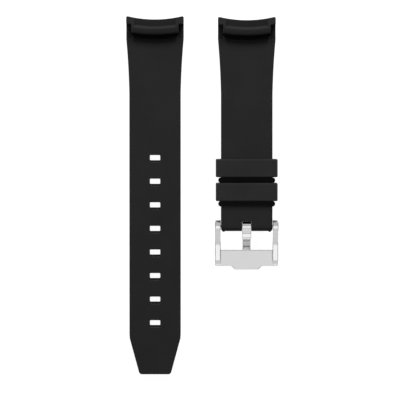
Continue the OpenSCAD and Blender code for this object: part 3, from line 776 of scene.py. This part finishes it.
plate_front = PLATE_BACK + PLATE_LEN
rail_top = RAIL_T - BAR_Z
slope_top = (-RAIL_BACK, rail_top)
slope_foot = (FOOT_LEAD - PLATE_BACK, -BAR_Z)
nose_y = NOSE_SETBACK - plate_front
upper = tangent_angle(slope_top, EAR_R, -1) % (2 * np.pi)
lower = tangent_angle(slope_foot, EAR_R, 1)
ear_turn = np.linspace(lower, upper, EAR_POINTS)
ear = EAR_R * np.stack([np.cos(ear_turn), np.sin(ear_turn)], axis=1)
beam = filleted([ear[-1], slope_top, (nose_y + NOSE_RUN, rail_top), (nose_y, rail_top - NOSE_FALL),
                 (nose_y, -BAR_Z), slope_foot, ear[0]],
                [JOIN_R, ARM_BEND_R, NOSE_R, NOSE_R, TOE_R, ARM_BEND_R, JOIN_R])
arm_outline = np.concatenate([ear, between_joins(beam)]) + np.array([BAR_Y, BAR_Z])
half_gap = STRAP_W / 2 + ARM_GAP
half_buckle = half_gap + ARM_T
arms = [rimmed_plate(arm_outline, SHORT_X + low, SHORT_X + low + ARM_T, ARM_RIM, (2, 0, 1))
        for low in (-half_buckle, half_gap)]
plate_outline = filleted(
    [(half_buckle, -PLATE_BACK), (-half_buckle, -PLATE_BACK), (-half_buckle, -plate_front),
     (-TAB_W / 2, -plate_front), (-TAB_END_W / 2, -plate_front - TAB_LEN),
     (TAB_END_W / 2, -plate_front - TAB_LEN), (TAB_W / 2, -plate_front), (half_buckle, -plate_front)],
    3 * [PLATE_CORNER_R] + 4 * [TAB_CORNER_R] + [PLATE_CORNER_R])
plate = rimmed_plate(plate_outline + np.array([SHORT_X, BAR_Y]), 0, PLATE_T, PLATE_RIM)
buckle = new_piece("buckle_frame_steel", *plate, brushed_steel, "brushed_steel", "buckle")
for arm in arms:
    combine(buckle, arm, "UNION")
groove = np.array([(-GROOVE_W / 2, -GROOVE_REACH), (GROOVE_W / 2, -GROOVE_REACH),
                   (GROOVE_W / 2, 0), (-GROOVE_W / 2, 0)]) + np.array([SHORT_X, BAR_Y])
combine(buckle, rimmed_plate(groove, -GROOVE_T, GROOVE_T, GROOVE_RIM), "DIFFERENCE")
for side in (-1, 1):
    drill(buckle, (SHORT_X + side * half_gap, BAR_Y, BAR_Z), EAR_HOLE_R, 2 * EAR_HOLE_DEPTH)
buckle.data.materials.append(polished_steel)
centres = np.empty(3 * len(buckle.data.polygons))
normals = np.empty(3 * len(buckle.data.polygons))
buckle.data.polygons.foreach_get("center", centres)
buckle.data.polygons.foreach_get("normal", normals)
from_middle = abs(centres[::3] / MM - SHORT_X)
polished = (from_middle > half_gap - JOIN_R) & (normals[2::3] > POLISHED_ABOVE)
buckle.data.polygons.foreach_set("material_index", polished.astype(int))
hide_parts("buckle_frame")


# Tang
# A polished steel tongue, bent from strip: its knuckle turns on the bar, and its thinned tip lies in
# a groove under the plate.

KNUCKLE_W, KNUCKLE_R, KNUCKLE_BORE_R = 3.1, 1.6, 0.8
SHANK_W, SHANK_T, TIP_T = 2.85, 1.1, 0.75
TIP_PLAY = 0.1
HUMP_BACK, HUMP_FRONT, HUMP_TOP = 2.45, 4.05, 0.4
SHOULDER_REACH, SHOULDER_PROUD, SHANK_START = 4.55, 0.03, 0.72
TIP_BEND_LEAD, TIP_BEND_R = 0.75, 1.2
TIP_PAST = 0.2
HEEL_DROP = 0.2
CROWN_TURN = np.radians(176)
VALLEY_OUT, VALLEY_DROP = 0.05, 0.1
SHANK_R, TIP_END_R, UNDER_BEND_R = 0.3, 0.36, 2.0
VALLEY_R, HUMP_BACK_R, HUMP_FRONT_R, SHOULDER_R, HUMP_UNDER_R = 0.3, 0.6, 1.2, 0.3, 1.0
KNUCKLE_POINTS = 48
HEAD_RIM, SHANK_RIM = (0.06, 0.12), (0.06, 0.12)

tip_low = TIP_PLAY - BAR_Z
tip_top = tip_low + TIP_T
hump = np.array([-HUMP_FRONT, HUMP_TOP])
bend = np.array([TIP_BEND_LEAD - PLATE_BACK, tip_top])
slope = (bend - hump) / np.linalg.norm(bend - hump)
under = hump + SHANK_T * np.array([-slope[1], slope[0]])
under_start = under + slope * (HUMP_TOP - SHANK_T - under[1]) / slope[1]
under_end = under + slope * (tip_low - under[1]) / slope[1]
tip_y = -plate_front - TIP_PAST
start_top = hump + slope * SHANK_START
start_low = under + slope * (start_top - under).dot(slope)
shank_outline = filleted([start_top, bend, (tip_y, tip_top), (tip_y, tip_low), under_end, start_low],
                         [SHANK_R, TIP_BEND_R, TIP_END_R, TIP_END_R, UNDER_BEND_R, SHANK_R])
proud = np.array([SHOULDER_PROUD, 0.0])
shoulder_top = hump + slope * (SHOULDER_REACH - HUMP_FRONT) / -slope[0]
shoulder_low = under + slope * (SHOULDER_REACH + under[0]) / -slope[0]
heel_turn = np.pi + np.arcsin((SHANK_T + HEEL_DROP - HUMP_TOP) / KNUCKLE_R)
knuckle_turn = np.linspace(heel_turn - 2 * np.pi, CROWN_TURN, KNUCKLE_POINTS)
knuckle = KNUCKLE_R * np.stack([np.cos(knuckle_turn), np.sin(knuckle_turn)], axis=1)
valley = (-KNUCKLE_R - VALLEY_OUT, -VALLEY_DROP)
crown = filleted([knuckle[-1], valley, (-HUMP_BACK, HUMP_TOP), hump - proud, shoulder_top - proud,
                  shoulder_low + proud, under_start + proud, knuckle[0]],
                 [JOIN_R, VALLEY_R, HUMP_BACK_R, HUMP_FRONT_R, SHOULDER_R, SHOULDER_R,
                  HUMP_UNDER_R, JOIN_R])
head_outline = np.concatenate([knuckle, between_joins(crown)])


def tang_part(outline, width, rim):
    """Slice of the tang: a side view round the bar, as thick as the width, centred across."""
    return rimmed_plate(outline + np.array([BAR_Y, BAR_Z]), SHORT_X - width / 2, SHORT_X + width / 2,
                        rim, (2, 0, 1))


head = tang_part(head_outline, KNUCKLE_W, HEAD_RIM)
tang = new_piece("tang_steel", *head, polished_steel, "polished_steel", "tang")
combine(tang, tang_part(shank_outline, SHANK_W, SHANK_RIM), "UNION")
drill(tang, (SHORT_X, BAR_Y, BAR_Z), KNUCKLE_BORE_R, KNUCKLE_W + BOTH_SIDES)
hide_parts("buckle_tang")


# Spring bar
# Turned steel: a barrel with two sprung plungers, whose stems sit in the ears. The coil spring sealed
# between them is wound from fine wire. It is drawn in two halves.

SPRING_BORE_R = 0.3
SPRING_TURNS = 14

for name in ("bar_barrel", "bar_plunger_left", "bar_plunger_right"):
    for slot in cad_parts[name].material_slots:
        slot.material = polished_steel

spring_low, spring_high = [np.array(corner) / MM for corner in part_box("bar_spring")]
half_spring = (spring_high[0] - spring_low[0]) / 2
coil_r = (spring_high[2] - spring_low[2]) / 4 + SPRING_BORE_R / 2
wire_r = coil_r - SPRING_BORE_R


def half_coil(side, steps=20, round_wire=10):
    """Half of the spring: a circle of wire carried along the helix (p t, R cos t, R sin t).

    Each circle lies in the plane of the radial direction and the one square to it and to the helix.
    A flat face closes each end.
    """
    turn = np.linspace(0, 2 * np.pi * SPRING_TURNS, steps * SPRING_TURNS + 1)[:, None]
    pitch = (half_spring - 2 * wire_r) / turn[-1, 0]
    nothing = np.zeros_like(turn)
    centre = np.hstack([wire_r + pitch * turn, coil_r * np.cos(turn), coil_r * np.sin(turn)])
    along = np.hstack([pitch + nothing, -coil_r * np.sin(turn), coil_r * np.cos(turn)])
    radial = np.hstack([nothing, np.cos(turn), np.sin(turn)])
    beside = np.cross(along / np.linalg.norm(along, axis=1)[:, None], radial)
    angle = np.linspace(0, 2 * np.pi, round_wire, endpoint=False)[:, None]
    rings = centre[:, None] + wire_r * (np.cos(angle) * radial[:, None] + np.sin(angle) * beside[:, None])
    places = rings.reshape(-1, 3) * np.array([side, 1, 1]) + np.array([SHORT_X, BAR_Y, BAR_Z])
    number = np.arange(len(places)).reshape(-1, round_wire)
    ahead = np.roll(number, -1, axis=1)
    walls = np.stack([number[:-1], ahead[:-1], ahead[1:], number[1:]], axis=-1).reshape(-1, 4)
    faces = walls.tolist() + [number[0, ::-1].tolist(), number[-1].tolist()]
    return places, faces if side > 0 else [face[::-1] for face in faces]


for side, name in ((-1, "left"), (1, "right")):
    places, faces = half_coil(side)
    coil = new_piece(f"bar_spring_{name}_coils", places, faces, polished_steel, "polished_steel", "buckle")
    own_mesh(coil)
    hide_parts("bar_spring")
